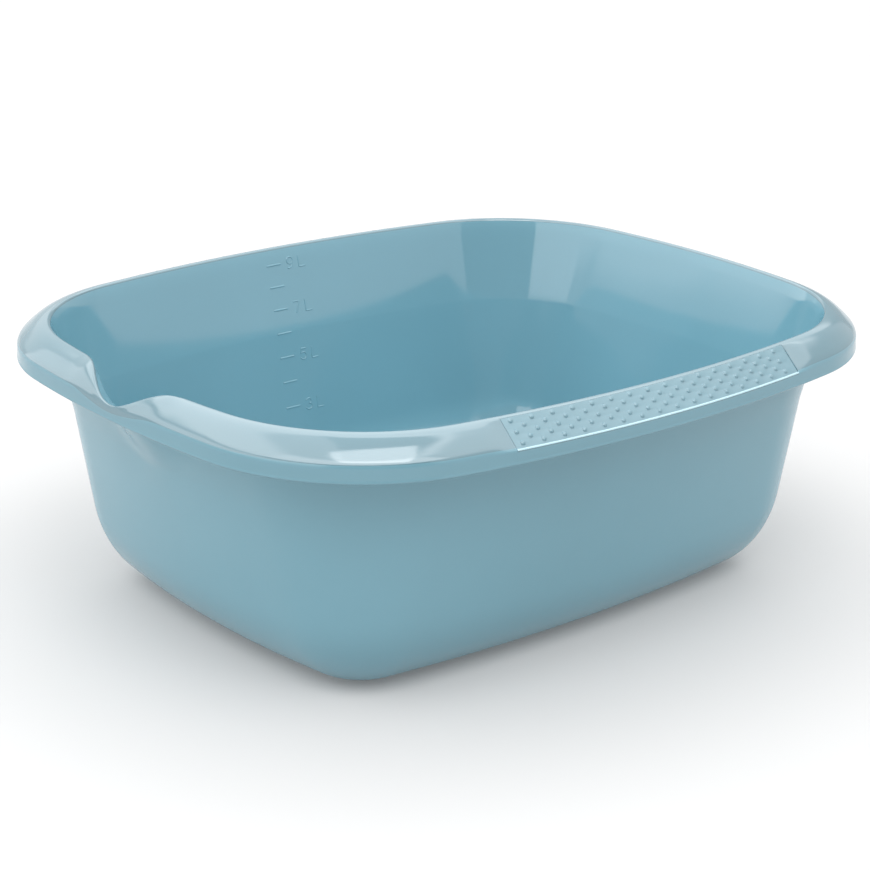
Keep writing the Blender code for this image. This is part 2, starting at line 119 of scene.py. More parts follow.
# ================================================================ plan curves
def bow(loop):
    a, b, sa, sb, r = loop
    r1 = (b * b + sa * sa) / (2 * sa)
    r2 = (a * a + sb * sb) / (2 * sb)
    c1, c2 = np.array([a - r1, 0.0]), np.array([0.0, b - r2])
    d1, d2 = r1 - r, r2 - r
    d = np.linalg.norm(c2 - c1)
    e = (c2 - c1) / d
    x = (d1 * d1 - d2 * d2 + d * d) / (2 * d)
    h = math.sqrt(max(d1 * d1 - x * x, 1e-12))
    n = np.array([-e[1], e[0]])
    p1, p2 = c1 + e * x + n * h, c1 + e * x - n * h
    cc = p1 if p1.sum() > p2.sum() else p2
    t1 = math.atan2(cc[1] - c1[1], cc[0] - c1[0])
    t2 = math.atan2(cc[1] - c2[1], cc[0] - c2[0])
    return ((c1, r1, 0.0, t1), (cc, r, t1, t2), (c2, r2, t2, math.pi / 2))


ARC_C, ARC_K, ARC_W = bow(CREST), bow(SKIRT), bow(WALL)
K_END = 0.25
K_STEP = 0.0003 * (1 - K_END) / GRIP_HALF
# columns at a pocket's end: three over the rounded step from the rim down to
# the pad's level, one on that level and one at the bottom of the pocket
END_STEPS = (-3.2, -1.9, -0.8, 0.1, 0.75, 0.85)
END_LEVEL = 0.8            # up to here the body reaches the pad's level


def on_loop(arcs, col):
    sx, sy, seg, k = col
    c, r, t0, t1 = arcs[seg]
    if seg == 2:
        xc = c[0] + r * math.cos(t0)
        x = (xc + (GRIP_HALF - xc) * k / K_END if k < K_END
             else GRIP_HALF * (1 - k) / (1 - K_END))
        t = math.acos((x - c[0]) / r)
    else:
        t = t0 + (t1 - t0) * k
    n = np.array([math.cos(t), math.sin(t)])
    p = c + n * r
    s = np.array([sx, sy])
    return p * s, n * s


def columns():
    side = [K_END * i / N_SIDE for i in range(N_SIDE)]
    side += [K_END + K_STEP * q for q in END_STEPS]
    side += [K_END + (1 - K_END) * i / N_LONG for i in range(1, N_LONG + 1)]

    def quadrant(sx, sy, n_short, reverse):
        q = [(sx, sy, 0, i / n_short) for i in range(n_short)]
        q += [(sx, sy, 1, i / N_CORNER) for i in range(N_CORNER)]
        q += [(sx, sy, 2, k) for k in side]
        return q[::-1] if reverse else q

    return (quadrant(1, 1, N_SHORT, False) + quadrant(-1, 1, N_SPOUT, True)[1:]
            + quadrant(-1, -1, N_SPOUT, False)[1:]
            + quadrant(1, -1, N_SHORT, True)[1:-1])


def ease(t):
    t = np.clip(t, 0.0, 1.0)
    return t * t * (3 - 2 * t)


def unit(v):
    return v / np.linalg.norm(v, axis=-1, keepdims=True)


class Ring:
    """All columns at once: plan points and outward directions of each loop,
    as arrays with one line per column."""

    def __init__(self, cols):
        self.cols = cols
        for name, arcs in (("c", ARC_C), ("k", ARC_K), ("w", ARC_W)):
            pn = [on_loop(arcs, c) for c in cols]
            setattr(self, "p" + name, np.array([p for p, _ in pn]))
            setattr(self, "n" + name, np.array([n for _, n in pn]))
        y = np.abs(self.pc[:, 1])
        left = self.pc[:, 0] < 0
        self.g = np.where(left, ease((SPOUT_DROP_HALF - y) / SPOUT_DROP_HALF),
                          0.0)
        self.s = np.where(left, ease((SPOUT_OUT_HALF - y)
                                     / (SPOUT_OUT_HALF - SPOUT_OUT_FLAT)), 0.0)
        seg = np.array([c[2] for c in cols])
        k = np.array([c[3] for c in cols])
        self.pocket = (seg == 2) & (k > K_END)
        d = np.maximum(0.0, np.abs(self.pc[:, 0]) - GRIP_HALF)
        # how far the rim beside a pocket takes on the pad's plane
        self.near = np.where((seg == 2) & (k <= K_END),
                             ease(1 - d / FLAT_BLEND), 0.0)[:, None]
        # 1 where a pocket is at its full depth, 0 on the level at its ends
        self.deep = np.where(k > K_END + K_STEP * END_LEVEL, 1.0, 0.0)[:, None]
        self.boss = np.where(seg == 2, ease(1 - d / BOSS_BLEND), 0.0)
        self.zero = np.zeros(len(cols))

    def wall(self, z, inset, swell=True, soft=None):
        """Wall surface at height z (a number or one per column)."""
        z = z + self.zero
        k = (z - WALL_Z) / (HEIGHT - WALL_Z)
        n = unit(self.nw * (1 - k)[:, None] + self.nc * k[:, None])
        p = (self.pw * (1 - k)[:, None]
             + (self.pc - self.nc * FLARE) * k[:, None])
        u = z - BREAK_Z
        soft = soft or BREAK_SOFT
        rise = np.where(u > soft, u, np.where(
            u > -soft, (u + soft) ** 2 / (4 * soft), 0.0))
        p = p + self.nc * (FLARE * rise / (HEIGHT - BREAK_Z))[:, None]
        if swell:
            zc = HEIGHT - SPOUT_DROP * self.g
            o = SPOUT_OUT * self.s * ease(1 - (zc - z) / SPOUT_DEPTH)
            p = p + n * o[:, None]
        p = p - n * (inset + self.zero)[:, None]
        return np.column_stack([p, z])

    def at(self, p, n, o, z):
        o = o + self.zero
        return np.column_stack([p + n * o[:, None], HEIGHT + z + self.zero])

    def skirt(self, h, extra=0.0):
        h = h + self.zero
        o = -(SKIRT_H - h) * math.tan(SKIRT_DRAFT) + extra
        return self.at(self.pk, self.nk, o, -h)

    def foot(self, inner, n):
        """Rounding between wall and floor, n + 1 rows from the wall down."""
        z0 = FLOOR_Z if inner else 0.0
        inset = WALL_T_LOW if inner else 0.0
        corner = self.wall(z0, inset)
        above = self.wall(z0 + 0.030, inset)
        flat = np.column_stack([self.pw - self.nw * FOOT_IN,
                                z0 + self.zero])
        if inner:
            flat = corner + (flat - corner) * ((FOOT_IN - 0.0062) / FOOT_IN)
        reach = np.linalg.norm(flat - corner, axis=1, keepdims=True)
        u, d = unit(above - corner), unit(flat - corner)
        start = corner + u * (reach * FOOT_RISE)
        w = np.sqrt(np.maximum((1 - (u * d).sum(1, keepdims=True)) / 2, 1e-9))
        rows = []
        for t in np.linspace(0.0, 1.0, n + 1):
            b0, b1, b2 = (1 - t) ** 2, 2 * t * (1 - t) * w, t * t
            rows.append((start * b0 + corner * b1 + flat * b2)
                        / (b0 + b1 + b2))
        return rows


def thickness(z):
    k = np.clip((z - WALL_Z) / (HEIGHT - WALL_Z), 0.0, 1.0)
    return WALL_T_LOW * (1 - k) + WALL_T_TOP * k


def cubic(p0, t0, t1, p1, k, pull=0.36):
    """Point at k of a cubic from p0 to p1 with end directions t0 and t1."""
    reach = np.linalg.norm(p1 - p0, axis=1, keepdims=True) * pull
    a, b = p0 + t0 * reach, p1 - t1 * reach
    return (p0 * (1 - k) ** 3 + a * (3 * k * (1 - k) ** 2)
            + b * (3 * k * k * (1 - k)) + p1 * k ** 3)


CREST_A0, CREST_A1 = 163.0, 76.0      # where the crest's rounding starts, ends


def rim_frame(r):
    """Key points and directions of the rim's section, per column."""
    dip, push = SPOUT_DROP * r.g, SPOUT_OUT * r.s
    h_sh = SHOULDER_H + SPOUT_SHOULDER * r.g
    a = math.radians(CREST_A1)
    q0 = r.at(r.pc, r.nc, push + CREST_R * math.cos(a),
              -dip - CREST_R + CREST_R * math.sin(a))
    sh = r.skirt(h_sh)
    w = sh - q0
    chord = unit(w)
    up = np.array([0.0, 0.0, 1.0])
    # a narrow rim, as at the spout's lip, keeps less of the crown
    t0 = unit(chord + up * 0.40)
    t1 = unit(chord - up * 0.28)
    p = q0 + w * 0.76 + up * (0.022 * np.linalg.norm(w, axis=1))[:, None]
    roll = np.minimum(0.0033, (SKIRT_H - h_sh) * 0.42)
    end = r.skirt(h_sh + roll)
    t2 = unit(r.skirt(SKIRT_H) - r.skirt(h_sh))
    return dict(q0=q0, sh=sh, t0=t0, t1=t1, p=p, end=end, t2=t2, h_sh=h_sh,
                roll=roll, dip=dip, push=push)


def rim_top(f, k):
    return cubic(f["q0"], f["t0"], f["t1"], f["p"], k)


def rim_roll(f, k):
    return cubic(f["p"], f["t1"], f["t2"], f["end"], k, 0.38)


K_UP = 0.125               # where a pad's upper edge lies on the rim's top


def pad_plane(r, f):
    """Upper and lower edge of the flat that carries a pad, the direction
    down it and its normal."""
    up = rim_top(f, K_UP)
    low = r.skirt(GRIP_LOW_H)
    run = unit(low - up)
    out = np.column_stack([r.nc, r.zero])
    z = np.array([0.0, 0.0, 1.0])
    nrm = unit(out * (-run[:, 2:3]) + z * (run * out).sum(1, keepdims=True))
    return up, low, run, nrm


# ================================================================= the bowl
def shell_rows(r):
    """The whole section: floor, inner wall, rim, outer wall and foot."""
    rows = []
    # inner rounding, floor to wall
    rows += r.foot(True, 20)[::-1]
    z0 = rows[-1][:, 2]
    lo = BREAK_Z - BREAK_IN
    for k in (0.25, 0.5, 0.75):
        z = z0 + (lo - z0) * k
        rows.append(r.wall(z, thickness(z), soft=BREAK_IN))
    for k in np.linspace(-1, 1, 5):
        z = BREAK_Z + BREAK_IN * k
        rows.append(r.wall(z, thickness(z), soft=BREAK_IN))
    f = rim_frame(r)
    a0 = math.radians(CREST_A0)
    z1 = HEIGHT - f["dip"] - CREST_R + CREST_R * math.sin(a0)
    lo = BREAK_Z + BREAK_IN
    for k in np.linspace(0, 1, 15)[1:-1]:
        z = lo + (z1 - lo) * k
        rows.append(r.wall(z, thickness(z), soft=BREAK_IN))
    rim_first = len(rows)
    # crest
    for a in np.linspace(CREST_A0, CREST_A1, 9):
        t = math.radians(a)
        rows.append(r.at(r.pc, r.nc, f["push"] + CREST_R * math.cos(t),
                         -f["dip"] - CREST_R + CREST_R * math.sin(t)))
    # top of the rim and shoulder; inside a pocket the flat for the pad
    up, low, run, nrm = pad_plane(r, f)
    n_top, n_roll = 14, 13
    plain = [rim_top(f, k) for k in np.linspace(0, 1, n_top + 1)[1:]]
    plain += [rim_roll(f, k) for k in np.linspace(0, 1, n_roll + 1)[1:]]
    for i, q in enumerate(plain):
        h = ((q - up) * nrm).sum(1, keepdims=True)
        plain[i] = q - nrm * (np.maximum(h - FLAT_STEP, 0.0) * r.near)
    depth = PAD_T + GAP
    ks = np.linspace(0, K_UP, 5)[1:-1]
    cut = [rim_top(f, k) for k in ks]
    level = 0.00010 * (1 - r.deep)
    sink = level + depth * r.deep
    cut += [rim_top(f, K_UP * 0.985), up,
            up + run * 0.00003 - nrm * (level + 0.0003 * r.deep),
            up + run * 0.00003 - nrm * sink]
    flat0, flat1 = up + run * 0.0003, low - run * (LEDGE + 0.0003)
    for k in np.linspace(0, 1, 5):
        cut.append(flat0 * (1 - k) + flat1 * k - nrm * sink)
    cut += [low - run * (LEDGE + 0.00003) - nrm * sink,
            low - run * (LEDGE + 0.00003) - nrm * (level + 0.0002 * r.deep)]
    # the lip along the pad's lower edge, standing a little proud
    lip_first = len(rows) + len(cut)
    for o, h in LIP:
        cut.append(low - run * (LEDGE - o) + nrm * h)
    edge = [cut[-1], r.skirt(GRIP_LOW_H + 0.0008)]
    sk = unit(r.skirt(SKIRT_H) - r.skirt(GRIP_LOW_H))
    for k in np.linspace(0, 1, 6)[1:]:
        cut.append(cubic(edge[0], unit(run - nrm * 0.45), sk, edge[1], k,
                         0.36))
    # the rest of the rows are spread down the skirt
    more = len(plain) - len(cut)
    for i in range(more):
        cut.append(r.skirt(GRIP_LOW_H + 0.0008 + (SKIRT_H - 0.0030 - GRIP_LOW_H
                                                  - 0.0008) * (i + 1) / more))
    for a, b in zip(plain, cut):
        rows.append(np.where(r.pocket[:, None], b, a))
    rim_mid = len(rows) - 5
    # skirt with a small bead along its lower edge
    h0 = np.where(r.pocket, SKIRT_H - 0.0030, f["h_sh"] + f["roll"])
    for k in (0.35, 0.7):
        rows.append(r.skirt(h0 + (SKIRT_H - 0.0018 - h0) * k, -0.00006))
    bead = SKIRT_H - 0.0010
    rows.append(r.skirt(SKIRT_H - 0.0018, -0.00010))
    for a in np.linspace(30, -90, 8):
        t = math.radians(a)
        rows.append(r.at(r.pk, r.nk, -0.0010 + 0.0010 * math.cos(t),
                         -bead + 0.0010 * math.sin(t)))
    rows.append(r.at(r.pk, r.nk, -RIM_T * 0.78, -SKIRT_H + 0.00006))
    rows.append(r.at(r.pk, r.nk, -RIM_T, -SKIRT_H + 0.0005))
    # underside of the rim: the channel for the fingers
    h_sh = f["h_sh"]
    h_in = h_sh + RIM_T + BOSS * r.boss + 0.0012
    inner_k = r.at(r.pk, r.nk, -(SKIRT_H - h_in) * math.tan(SKIRT_DRAFT)
                   - RIM_T, -h_in - 0.0012)
    h_w = np.minimum(0.0062 + BOSS * r.boss * 0.6 + 0.0085 * r.g,
                     h_in + 0.0002)
    join = r.wall(HEIGHT - h_w - 0.0018, 0.0)
    out = np.column_stack([r.nc, r.zero])
    span = ((inner_k - join) * out).sum(1)
    rows.append(inner_k)
    z = np.array([0.0, 0.0, 1.0])
    q1 = (inner_k - out * np.minimum(0.0014, span * 0.25)[:, None]
          + z * (0.0014 * np.minimum(1.0, span / 0.005))[:, None])
    k = np.minimum(0.0022 / np.maximum(span, 1e-6), 0.35)[:, None]
    q2 = join * (1 - k) + inner_k * k
    q2[:, 2] = HEIGHT - h_w
    rows.append(inner_k * 0.35 + q1 * 0.65 - out * 0.0001)
    rows.append(q1)
    for k in (0.33, 0.66):
        rows.append(q1 * (1 - k) + q2 * k)
    rows.append(q2)
    rows.append(q2 * 0.5 + join * 0.5)
    rows.append(join)
    rim_last = len(rows)
    # outer wall
    top = join[:, 2]
    lo = BREAK_Z + BREAK_SOFT
    for k in np.linspace(0, 1, 15)[1:-1]:
        rows.append(r.wall(top + (lo - top) * k, 0.0))
    for k in np.linspace(1, -1, 5):
        rows.append(r.wall(BREAK_Z + BREAK_SOFT * k, 0.0))
    foot = r.foot(False, 20)
    z1 = foot[0][:, 2]
    lo = BREAK_Z - BREAK_SOFT
    for k in (0.25, 0.5, 0.75):
        rows.append(r.wall(lo + (z1 - lo) * k, 0.0))
    rows += foot
    # foot ring and the recess inside it
    for o, z in ((FOOT_RING - 0.0004, 0.0), (FOOT_RING, 0.0002),
                 (FOOT_RING + FOOT_SLOPE * 0.8, FOOT_RECESS - 0.0007),
                 (FOOT_RING + FOOT_SLOPE + 0.0006, FOOT_RECESS)):
        q = r.pw - r.nw * (FOOT_IN + o)
        rows.append(np.column_stack([q, z + r.zero]))
    return rows, rim_first, rim_mid, rim_last, lip_first


def to_mesh(name, verts, faces, smooth_angle=38.0, slots=None):
    me = bpy.data.meshes.new(name)
    # a hair smaller than the outline, to stay inside the CAD part's box
    me.from_pydata([(v[0] * 0.99985, v[1] * 0.99985, v[2] * 0.9998)
                    for v in verts], [], faces)
    if slots is not None:
        me.polygons.foreach_set("material_index", slots)
    me.update()
    bm = bmesh.new()
    bm.from_mesh(me)
    bmesh.ops.recalc_face_normals(bm, faces=bm.faces[:])
    bm.to_mesh(me)
    bm.free()
    me.shade_smooth()
    me.set_sharp_from_angle(angle=math.radians(smooth_angle))
    ob = bpy.data.objects.new(name, me)
    bpy.context.scene.collection.objects.link(ob)
    return ob


def make_shell():
    r = Ring(columns())
    rows, rim_first, rim_mid, rim_last, lip_first = shell_rows(r)
    n = len(r.cols)
    # rings that fill the inner floor and the underside
    first, last = rows[0], rows[-1]
    inner = [first * [s, s, 1.0] for s in (0.22, 0.5, 0.78, 0.93)]
    under = [last * [s, s, 1.0] for s in (0.9, 0.6, 0.3)]
    rows = inner + rows + under
    m = len(rows)
    verts = np.concatenate(rows)
    faces = []
    for j in range(m - 1):
        a, b = j * n, (j + 1) * n
        faces += [(a + i, a + (i + 1) % n, b + (i + 1) % n, b + i)
                  for i in range(n)]
    verts = np.concatenate([verts, [[0, 0, FLOOR_Z], [0, 0, FOOT_RECESS]]])
    c0, c1 = m * n, m * n + 1
    k = len(inner)
    # which of the finishes a face has: slot 3, the lip, has a pale colour that is a
    # painted highlight; slots 1 and 2, the rim and the skirt with the underside, have
    # darker copies of the blue as painted shade
    lip = range(lip_first, lip_first + len(LIP) - 1)
    slots = [(3 if j - k in lip and r.pocket[i] and r.pocket[(i + 1) % n]
              else 1 if rim_first <= j - k < rim_mid
              else 2 if rim_mid <= j - k < rim_last - 1
              else 4 if j - k >= rim_last - 1 else 0)
             for j in range(m - 1) for i in range(n)]
    faces += [(c0, (i + 1) % n, i) for i in range(n)]
    b = (m - 1) * n
    faces += [(c1, b + i, b + (i + 1) % n) for i in range(n)]
    slots += [0] * n + [4] * n
    return to_mesh("bowl_shell", verts, faces, slots=slots)


# ============================================================== grip pads
def make_pad(name, sy):
    half = NUB_COLS * 2
    end = GRIP_HALF - GAP - 0.00015
    cell = 2 * NUB_HALF / (NUB_COLS - 1)

    # stations along the pad at quarter steps of a nub's half cell
    def x_of(i):
        i0 = int(math.floor(i + 1e-9))
        q = i - i0

        def whole(j):
            if j <= 0:
                return -end
            if j >= half:
                return end
            return -NUB_HALF + NUB_SHIFT + (j - 1) * cell / 2
        return whole(i0) if q < 1e-6 else whole(i0) * (1 - q) + whole(i0 + 1) * q

    stations = sorted(set([i / 2 for i in range(2 * half + 1)]))
    cols = []
    for i in stations:
        x = x_of(i)
        cols.append((1 if x >= 0 else -1, sy, 2,
                     1.0 - abs(x) / GRIP_HALF * (1 - K_END)))
    r = Ring(cols)
    up, low, run, nrm = pad_plane(r, rim_frame(r))
    where = {s: j for j, s in enumerate(stations)}
    length = np.linalg.norm(low - up, axis=1)

    def down(v, j):
        u0, u1 = 0.00005, length[j] - LEDGE - 0.00003
        knots = [0.0] + [i + 0.5 for i in range(NUB_ROWS)] + [float(NUB_ROWS)]
        vals = ([u0] + [NUB_FIRST + NUB_PITCH * i for i in range(NUB_ROWS)]
                + [u1])
        return float(np.interp(v, knots, vals))

    verts, faces, cache = [], [], {}

    def vert(p):
        verts.append(tuple(p))
        return len(verts) - 1

    def surf(i, v, lift=0.0, tag=0):
        key = (round(i * 4), round(v * 8), tag)
        if key not in cache:
            j = where[i]
            cache[key] = vert(up[j] + run[j] * down(v, j) + nrm[j] * lift)
        return cache[key]

    # height of a nub over its radius: a fillet, a flank and a rounded tip
    prof = [(1.16, 0.0), (1.04, 0.05), (0.96, 0.22), (0.88, 0.47),
            (0.74, 0.70), (0.54, 0.87), (0.30, 0.97)]
    for row in range(NUB_ROWS):
        long_row = row % 2 == 0
        starts = range(0, half, 2) if long_row else range(1, half - 1, 2)
        if not long_row:
            for c, other in ((0, 1), (half - 1, half - 1)):
                loop = [(c, row), (c + 0.5, row), (c + 1, row)]
                loop += [(c + 1, row + q / 4) for q in range(1, 5)]
                loop += [(c + 0.5, row + 1), (c, row + 1)]
                loop += [(c, row + q / 4) for q in range(3, 0, -1)]
                faces.append([surf(*q) for q in loop])
        for c in starts:
            loop = [(c + q / 2, row) for q in range(4)]
            loop += [(c + 2, row + q / 4) for q in range(4)]
            loop += [(c + 2 - q / 2, row + 1) for q in range(4)]
            loop += [(c, row + 1 - q / 4) for q in range(4)]
            ring = [surf(*q) for q in loop]
            j = where[c + 1]
            mid = up[j] + run[j] * down(row + 0.5, j)
            side = unit(np.cross(run[j], nrm[j]))
            if np.dot(side, np.array(verts[ring[4]]) - np.array(verts[ring[0]])) < 0:
                side = -side
            prev = ring
            for rad, hh in prof:
                cur = []
                for q in range(16):
                    t = math.radians(-135 + 22.5 * q)
                    d = side * math.cos(t) + run[j] * math.sin(t)
                    cur.append(vert(mid + d * (NUB_R * rad)
                                    + nrm[j] * (NUB_H * hh)))
                for q in range(16):
                    w = (q + 1) % 16
                    faces.append([prev[q], prev[w], cur[w], cur[q]])
                prev = cur
            tip = vert(mid + nrm[j] * NUB_H)
            for q in range(16):
                faces.append([prev[q], prev[(q + 1) % 16], tip])
    # edges and the back
    edge = [(i / 2, 0.0) for i in range(2 * half + 1)]
    edge += [(half, j / 4) for j in range(1, 4 * NUB_ROWS + 1)]
    edge += [(i / 2, float(NUB_ROWS)) for i in range(2 * half - 1, -1, -1)]
    edge += [(0, j / 4) for j in range(4 * NUB_ROWS - 1, 0, -1)]
    for a, b in zip(edge, edge[1:] + edge[:1]):
        faces.append([surf(*a), surf(*b), surf(*b, -PAD_T, 1),
                      surf(*a, -PAD_T, 1)])
    for i in range(2 * half):
        left, right = [surf(i / 2, 0.0, -PAD_T, 1)], [surf((i + 1) / 2, 0.0, -PAD_T, 1)]
        if i == 0:
            left += [surf(0, j / 4, -PAD_T, 1) for j in range(1, 4 * NUB_ROWS)]
        if i == 2 * half - 1:
            right += [surf(half, j / 4, -PAD_T, 1)
                      for j in range(1, 4 * NUB_ROWS)]
        left.append(surf(i / 2, float(NUB_ROWS), -PAD_T, 1))
        right.append(surf((i + 1) / 2, float(NUB_ROWS), -PAD_T, 1))
        faces.append(left + right[::-1])
    return to_mesh(name, verts, faces, 50.0)


# ============================================================ litre scale
def litre_heights():
    """Height of the water for each mark, from the basin's own volume."""
    side = Ring([c for c in columns()])
    feet = np.stack(side.foot(True, 24)[::-1])
    n, z, vol, found = 240, FLOOR_Z, 0.0, {}
    dz = (HEIGHT - 0.004 - FLOOR_Z) / n
    for _ in range(n):
        zm = z + dz / 2
        p = side.wall(zm, thickness(zm) if zm > 0.04 else WALL_T_LOW, False)
        low = feet[-1, :, 2] > zm
        if low.any():
            for i in np.where(low)[0]:
                p[i, 0] = np.interp(zm, feet[:, i, 2], feet[:, i, 0])
                p[i, 1] = np.interp(zm, feet[:, i, 2], feet[:, i, 1])
        q = np.roll(p, -1, 0)
        step = 0.5 * abs((p[:, 0] * q[:, 1] - p[:, 1] * q[:, 0]).sum()) * dz
        for lit in MARKS:
            if vol < lit * 1e-3 <= vol + step:
                found[lit] = z + dz * (lit * 1e-3 - vol) / step
        vol += step
        z += dz
    return found


def arc(cx, cy, rx, ry, a0, a1, n=12):
    return [(cx + rx * math.cos(math.radians(a0 + (a1 - a0) * i / n)),
             cy + ry * math.sin(math.radians(a0 + (a1 - a0) * i / n)))
            for i in range(n + 1)]


GLYPHS = {                 # centre lines in a unit box
    "3": [arc(0.46, 0.755, 0.46, 0.245, 150, -80, 14)
          + arc(0.46, 0.27, 0.54, 0.27, 80, -150, 16)],
    "5": [[(0.92, 1.0), (0.2, 1.0), (0.12, 0.56)]
          + arc(0.48, 0.33, 0.52, 0.33, 130, -150, 18)],
    "7": [[(0.0, 1.0), (1.0, 1.0), (0.36, 0.0)]],
    "9": [arc(0.5, 0.69, 0.48, 0.31, 0, 360, 22)[:-1]
          + [(0.98, 0.69), (0.9, 0.36), (0.7, 0.13), (0.36, 0.0), (0.1, 0.03)]],
    "L": [[(0.0, 1.0), (0.0, 0.0), (1.0, 0.0)]],
}


def resample(line, step):
    out = [np.array(line[0], float)]
    for a, b in zip(line, line[1:]):
        a, b = np.array(a, float), np.array(b, float)
        n = max(1, int(math.ceil(np.linalg.norm(b - a) / step)))
        out += [a + (b - a) * (i + 1) / n for i in range(n)]
    return out


def make_scale():
    """Raised rounded strokes on the inner face of the rear wall."""
    verts, faces = [], []

    def wall_y(x, z):
        col = (1 if x >= 0 else -1, 1, 2,
               1.0 - abs(x) / GRIP_HALF * (1 - K_END))
        r = Ring([col])
        return r.wall(z, thickness(z))[0, 1]

    z_cache = {}

    def surface(x, z):
        key = (round(x, 5), round(z, 5))
        if key not in z_cache:
            z_cache[key] = wall_y(x, z)
        return z_cache[key]

    section = [(math.cos(t), math.sin(t))
               for t in np.linspace(0, math.pi, 9)]

    def stroke(line, width):
        pts = resample(line, 0.0004)
        n = len(pts)
        dirs = []
        for i in range(n):
            a, b = pts[max(i - 1, 0)], pts[min(i + 1, n - 1)]
            dirs.append((b - a) / np.linalg.norm(b - a))
        # rounded ends: extra stations past each end, narrowing
        seq = []
        for k in (0.98, 0.7, 0.35):
            seq.append((pts[0] - dirs[0] * width / 2 * k, dirs[0],
                        math.sqrt(1 - k * k)))
        seq += [(p, d, 1.0) for p, d in zip(pts, dirs)]
        for k in (0.35, 0.7, 0.98):
            seq.append((pts[-1] + dirs[-1] * width / 2 * k, dirs[-1],
                        math.sqrt(1 - k * k)))
        prev = None
        for p, d, s in seq:
            side = np.array([-d[1], d[0]])
            cur = []
            for c, h in section + [(-1.0, -0.8), (1.0, -0.8)]:
                q = p + side * (c * width / 2 * s)
                y = surface(q[0], q[1])
                lift = MARK_RELIEF * h * s if h >= 0 else h * MARK_ROOT
                verts.append((q[0], y - lift, q[1]))
                cur.append(len(verts) - 1)
            m = len(cur)
            if prev is None:
                faces.append(cur)
            else:
                faces.extend([prev[i], prev[(i + 1) % m], cur[(i + 1) % m],
                              cur[i]] for i in range(m))
            prev = cur
        faces.append(prev[::-1])

    for lit, z in sorted(litre_heights().items()):
        stroke([(BAR_X0 + BAR_H / 2, z), (BAR_X1 - BAR_H / 2, z)], BAR_H)
        if lit % 2 == 0:
            continue
        x = TEXT_X
        for ch, w in ((str(lit), DIGIT_W), ("L", LETTER_W)):
            for line in GLYPHS[ch]:
                stroke([(x + u * w, z - TEXT_H / 2 + v * TEXT_H)
                        for u, v in line], STROKE)
            x += w + TEXT_GAP
    return to_mesh("litre_scale", verts, faces, 60.0)


shell = make_shell()
pad_front = make_pad("grip_front", -1)
pad_rear = make_pad("grip_rear", 1)
scale = make_scale()


# ================================================================ materials
# The rim takes a higher polish than the walls, so more of its brightness is
# reflection. Its colour is a darker copy of the blue, a painted shade over the
# rim, and the skirt's colour is a darker copy too, painted shade below it.
RIM_PAINTED_SHADE, SKIRT_PAINTED_SHADE, PAD_SHADE = 0.60, 0.85, 0.74


def node(tree, kind, x, y, **values):
    n = tree.nodes.new(kind)
    n.location = (x, y)
    for key, v in values.items():
        if key in n.inputs:
            n.inputs[key].default_value = v
        else:
            setattr(n, key, v)
    return n


